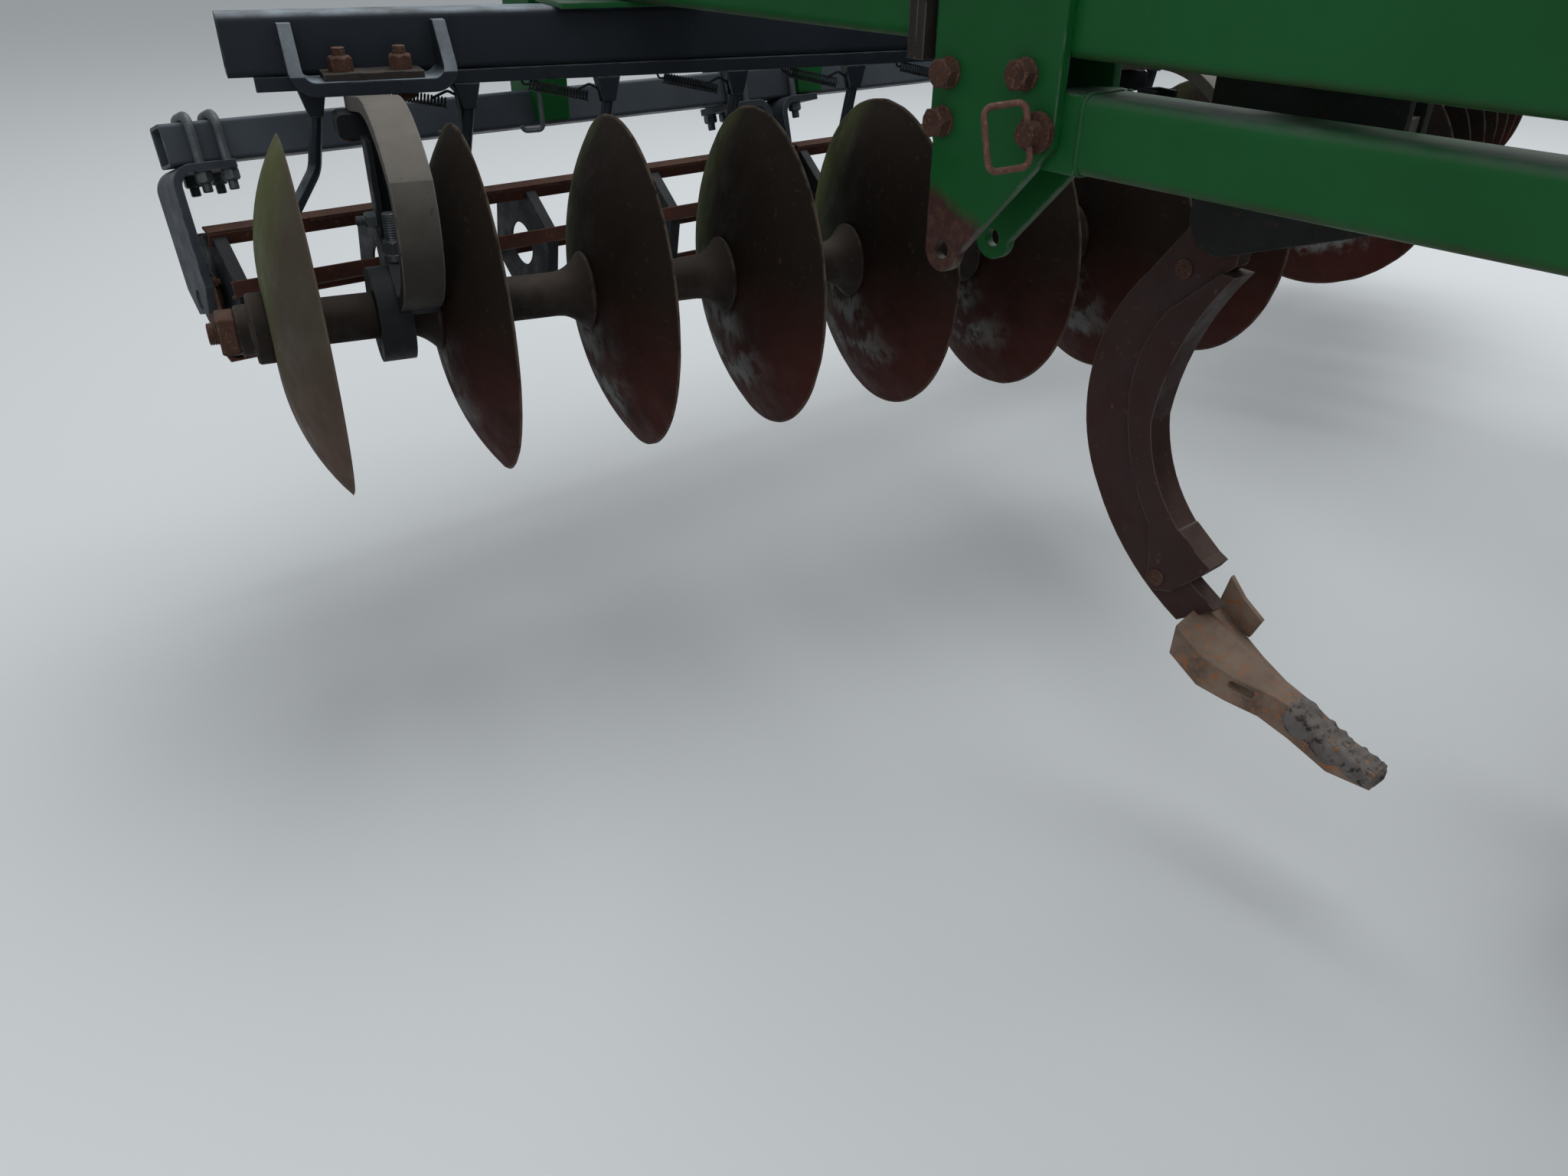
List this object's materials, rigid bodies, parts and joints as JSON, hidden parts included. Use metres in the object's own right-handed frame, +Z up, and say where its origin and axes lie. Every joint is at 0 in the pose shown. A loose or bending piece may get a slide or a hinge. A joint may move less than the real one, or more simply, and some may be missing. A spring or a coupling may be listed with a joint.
{
  "type": "disc chisel plough",
  "caption": "Trailed primary tillage machine: angled disc gangs on spring hangers ahead of and behind winged chisel shanks, with rolling baskets at the rear.",
  "frame": {"origin": "on the ground under the middle of the machine's length and width, at its transport height", "axes": "+X forward to the hitch, +Y to the machine's left, +Z up"},
  "size_m": [7.015, 4.756, 1.3937],
  "materials": {
    "frame_green": "semi-gloss, grey worn top edges and brown dust below",
    "tube_black": "satin, dusty",
    "slate_steel": "matt, scuffed",
    "worn_plate": "rusted",
    "bare_steel": "dull, lightly rusted",
    "spring_steel": "matt, worn to grey",
    "cast_grey": "rough",
    "disc_steel": "rusted, with old paint left and grey scrapes",
    "basket_rust": "rusted",
    "point_iron": "rusted, worn nose",
    "rod_chrome": "polished",
    "tyre_rubber": "dusty",
    "rim_paint": "satin"
  },
  "bodies": {
    "frame": {"arm_flanges": "worn_plate", "basket_arms": "frame_green", "basket_hangers": "slate_steel", "basket_tube": "tube_black", "beam_clamps": "frame_green", "bracket_pins": "bare_steel", "cross_tubes": "frame_green", "cylinder_lugs": "frame_green", "gang_beams": "tube_black", "gang_bearings": "cast_grey", "hanger_seats": "worn_plate", "hanger_springs": "spring_steel", "hanger_straps": "worn_plate", "hitch": "worn_plate", "inner_rails": "frame_green", "jack_beam": "frame_green", "jack_tube": "tube_black", "lift_bearings": "frame_green", "link_anchors": "frame_green", "link_brackets": "frame_green", "lower_links": "frame_green", "points": "point_iron", "rear_arms": "frame_green", "ring_handle_left": "bare_steel", "ring_handle_right": "bare_steel", "scraper_bars": "tube_black", "scrapers": "tube_black", "shank_holders": "frame_green", "shanks": "frame_green", "shin_guards": "frame_green", "side_rails": "frame_green", "spring_blocks": "slate_steel", "tongue": "frame_green", "trip_springs": "spring_steel"},
    "gang_rear_right": {"discs_rear_right": "disc_steel", "spools_rear_right": "cast_grey"},
    "gang_rear_left": {"discs_rear_left": "disc_steel", "spools_rear_left": "cast_grey"},
    "gang_front_right": {"discs_front_right": "disc_steel", "spools_front_right": "cast_grey"},
    "gang_front_left": {"discs_front_left": "disc_steel", "spools_front_left": "cast_grey"},
    "basket_right": {"basket_right": "basket_rust"},
    "basket_centre": {"basket_centre": "basket_rust"},
    "basket_left": {"basket_left": "basket_rust"},
    "lift": {"lift_shaft": "frame_green"},
    "wheel_right_outer": {"tyre_right_outer": "tyre_rubber", "rim_right_outer": "rim_paint"},
    "wheel_right_inner": {"tyre_right_inner": "tyre_rubber", "rim_right_inner": "rim_paint"},
    "wheel_left_inner": {"tyre_left_inner": "tyre_rubber", "rim_left_inner": "rim_paint"},
    "wheel_left_outer": {"tyre_left_outer": "tyre_rubber", "rim_left_outer": "rim_paint"},
    "barrels": {"lift_barrels": "tube_black"},
    "rods": {"lift_rods": "rod_chrome"},
    "jack": {"jack_leg": "bare_steel"}
  },
  "joints": [
    {"name": "rear_right_gang_turn", "type": "hinge", "parent": "frame", "child": "gang_rear_right", "pos_m": [-2.9028, -2.1484, 0.76], "axis": [0.2588, 0.9659, 0], "continuous": true},
    {"name": "rear_left_gang_turn", "type": "hinge", "parent": "frame", "child": "gang_rear_left", "pos_m": [-2.9028, 2.1484, 0.76], "axis": [0.2588, -0.9659, 0], "continuous": true},
    {"name": "front_right_gang_turn", "type": "hinge", "parent": "frame", "child": "gang_front_right", "pos_m": [1.4025, -2.1484, 0.76], "axis": [-0.2588, 0.9659, 0], "continuous": true},
    {"name": "front_left_gang_turn", "type": "hinge", "parent": "frame", "child": "gang_front_left", "pos_m": [1.4025, 2.1484, 0.76], "axis": [-0.2588, -0.9659, 0], "continuous": true},
    {"name": "basket_right_turn", "type": "hinge", "parent": "frame", "child": "basket_right", "pos_m": [-3.3535, -1.49, 0.702], "axis": [0, 1, 0], "continuous": true},
    {"name": "basket_centre_turn", "type": "hinge", "parent": "frame", "child": "basket_centre", "pos_m": [-3.3535, 0, 0.702], "axis": [0, 1, 0], "continuous": true},
    {"name": "basket_left_turn", "type": "hinge", "parent": "frame", "child": "basket_left", "pos_m": [-3.3535, 1.49, 0.702], "axis": [0, 1, 0], "continuous": true},
    {"name": "lift_turn", "type": "hinge", "parent": "frame", "child": "lift", "pos_m": [-0.2375, 0, 1.08], "axis": [0, 1, 0], "range_deg": [0, 50]},
    {"name": "wheel_right_outer_turn", "type": "hinge", "parent": "lift", "child": "wheel_right_outer", "pos_m": [-0.7125, -0.914, 0.3785], "axis": [0, 1, 0], "continuous": true},
    {"name": "wheel_right_inner_turn", "type": "hinge", "parent": "lift", "child": "wheel_right_inner", "pos_m": [-0.7125, -0.305, 0.3785], "axis": [0, 1, 0], "continuous": true},
    {"name": "wheel_left_inner_turn", "type": "hinge", "parent": "lift", "child": "wheel_left_inner", "pos_m": [-0.7125, 0.305, 0.3785], "axis": [0, 1, 0], "continuous": true},
    {"name": "wheel_left_outer_turn", "type": "hinge", "parent": "lift", "child": "wheel_left_outer", "pos_m": [-0.7125, 0.914, 0.3785], "axis": [0, 1, 0], "continuous": true},
    {"name": "barrel_pivot", "type": "hinge", "parent": "frame", "child": "barrels", "pos_m": [0.5425, 0, 1.25], "axis": [0, 1, 0], "range_deg": [0, 0.7]},
    {"name": "rod_slide", "type": "slide", "parent": "barrels", "child": "rods", "axis": [-0.9998, 0, -0.0187], "range_m": [-0.145, 0]},
    {"name": "jack_slide", "type": "slide", "parent": "frame", "child": "jack", "axis": [0, 0, 1], "range_m": [0, 0.35]}
  ],
  "couplings": [
    {"joint": "rod_slide", "follows": "lift_turn", "m_per_rad": -0.16467},
    {"joint": "barrel_pivot", "follows": "lift_turn", "ratio": 0.012}
  ]
}
